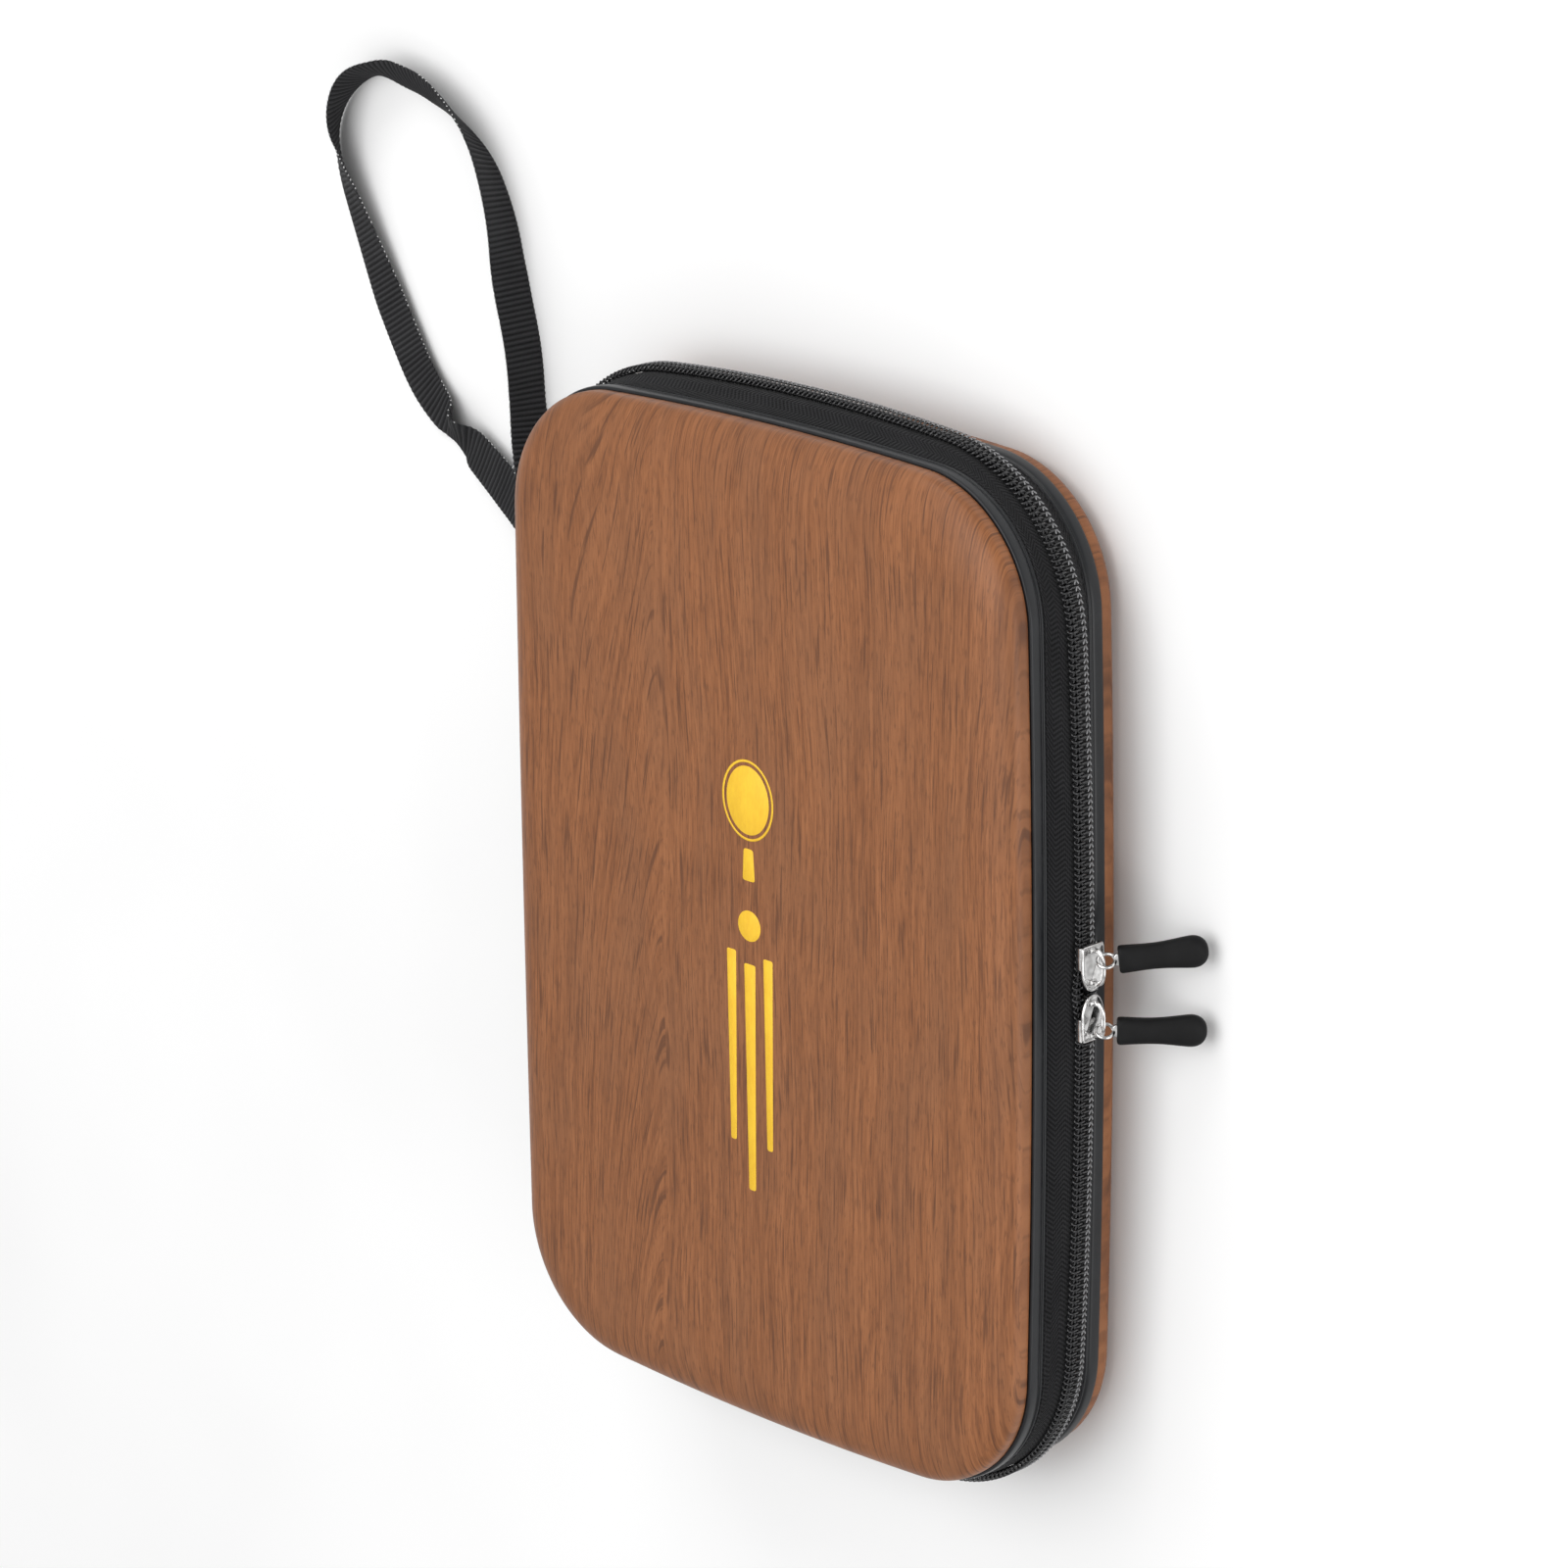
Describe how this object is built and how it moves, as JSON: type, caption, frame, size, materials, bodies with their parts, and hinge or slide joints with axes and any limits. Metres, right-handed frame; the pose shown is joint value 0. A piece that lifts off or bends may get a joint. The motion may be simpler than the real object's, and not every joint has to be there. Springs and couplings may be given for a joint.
{
  "type": "paddle case",
  "caption": "Hard-shell zip case for table-tennis paddles: wood-look moulded halves, fabric spine, two-slider zip, wrist strap, net pocket and elastic band inside.",
  "frame": {"origin": "centre of the back shell's flat outer face, on the surface the case lies on", "axes": "+Z out of the lid, +Y along the case towards the end with the wrist strap, +X towards the zip sliders; the spine is on the -X side"},
  "size_m": [0.3612, 0.3772, 0.048],
  "materials": {
    "wood_print_shell": "satin film printed with a warm brown wood grain over moulded foam",
    "rubber_welt": "smooth satin black",
    "zip_tape": "black herringbone weave",
    "spine_fabric": "black woven fabric",
    "nylon_coil": "black nylon monofilament",
    "zip_metal": "bright nickel plate",
    "pull_rubber": "soft matte black",
    "webbing": "black ribbed webbing",
    "lining_fabric": "brushed knit",
    "seam_binding": "flat woven tape",
    "net": "open black net",
    "elastic": "ribbed black elastic"
  },
  "bodies": {
    "base": {"base_shell": "wood_print_shell", "base_lining": "lining_fabric", "base_trim": "rubber_welt", "base_seam_binding": "seam_binding", "base_zip_tape": "zip_tape", "base_spine_fabric": "spine_fabric", "base_zip_coil": "nylon_coil", "base_zip_stops": "zip_metal", "paddle_band": "elastic", "strap_tabs": "webbing", "wrist_strap": "webbing"},
    "lid": {"lid_shell": "wood_print_shell", "lid_lining": "lining_fabric", "lid_trim": "rubber_welt", "lid_seam_binding": "seam_binding", "lid_zip_tape": "zip_tape", "lid_spine_fabric": "spine_fabric", "lid_zip_coil": "nylon_coil", "lid_zip_stops": "zip_metal", "net_pocket": "net", "net_band": "elastic"},
    "upper_zip_slider": {"upper_slider": "zip_metal", "upper_bail": "zip_metal"},
    "lower_zip_slider": {"lower_slider": "zip_metal", "lower_bail": "zip_metal"},
    "upper_zip_pull": {"upper_pull_link": "zip_metal", "upper_pull_sleeve": "pull_rubber"},
    "lower_zip_pull": {"lower_pull_link": "zip_metal", "lower_pull_sleeve": "pull_rubber"}
  },
  "joints": [
    {"name": "lid_hinge", "type": "hinge", "parent": "base", "child": "lid", "pos_m": [-0.1042, 0, 0.024], "axis": [0, -1, 0], "range_deg": [0, 110]},
    {"name": "upper_slider_travel", "type": "hinge", "parent": "base", "child": "upper_zip_slider", "pos_m": [-1.58085, 0, 0.024], "axis": [0, 0, 1], "range_deg": [0, 2.45]},
    {"name": "lower_slider_travel", "type": "hinge", "parent": "base", "child": "lower_zip_slider", "pos_m": [-1.58085, 0, 0.024], "axis": [0, 0, -1], "range_deg": [0, 2.8]},
    {"name": "upper_pull_swing", "type": "hinge", "parent": "upper_zip_slider", "child": "upper_zip_pull", "pos_m": [0.11673, 0.01606, 0.024], "axis": [0.0077, -1, 0], "range_deg": [0, 115]},
    {"name": "lower_pull_swing", "type": "hinge", "parent": "lower_zip_slider", "child": "lower_zip_pull", "pos_m": [0.1168, -0.00421, 0.024], "axis": [-0.0008, -1, 0], "range_deg": [0, 115]}
  ]
}
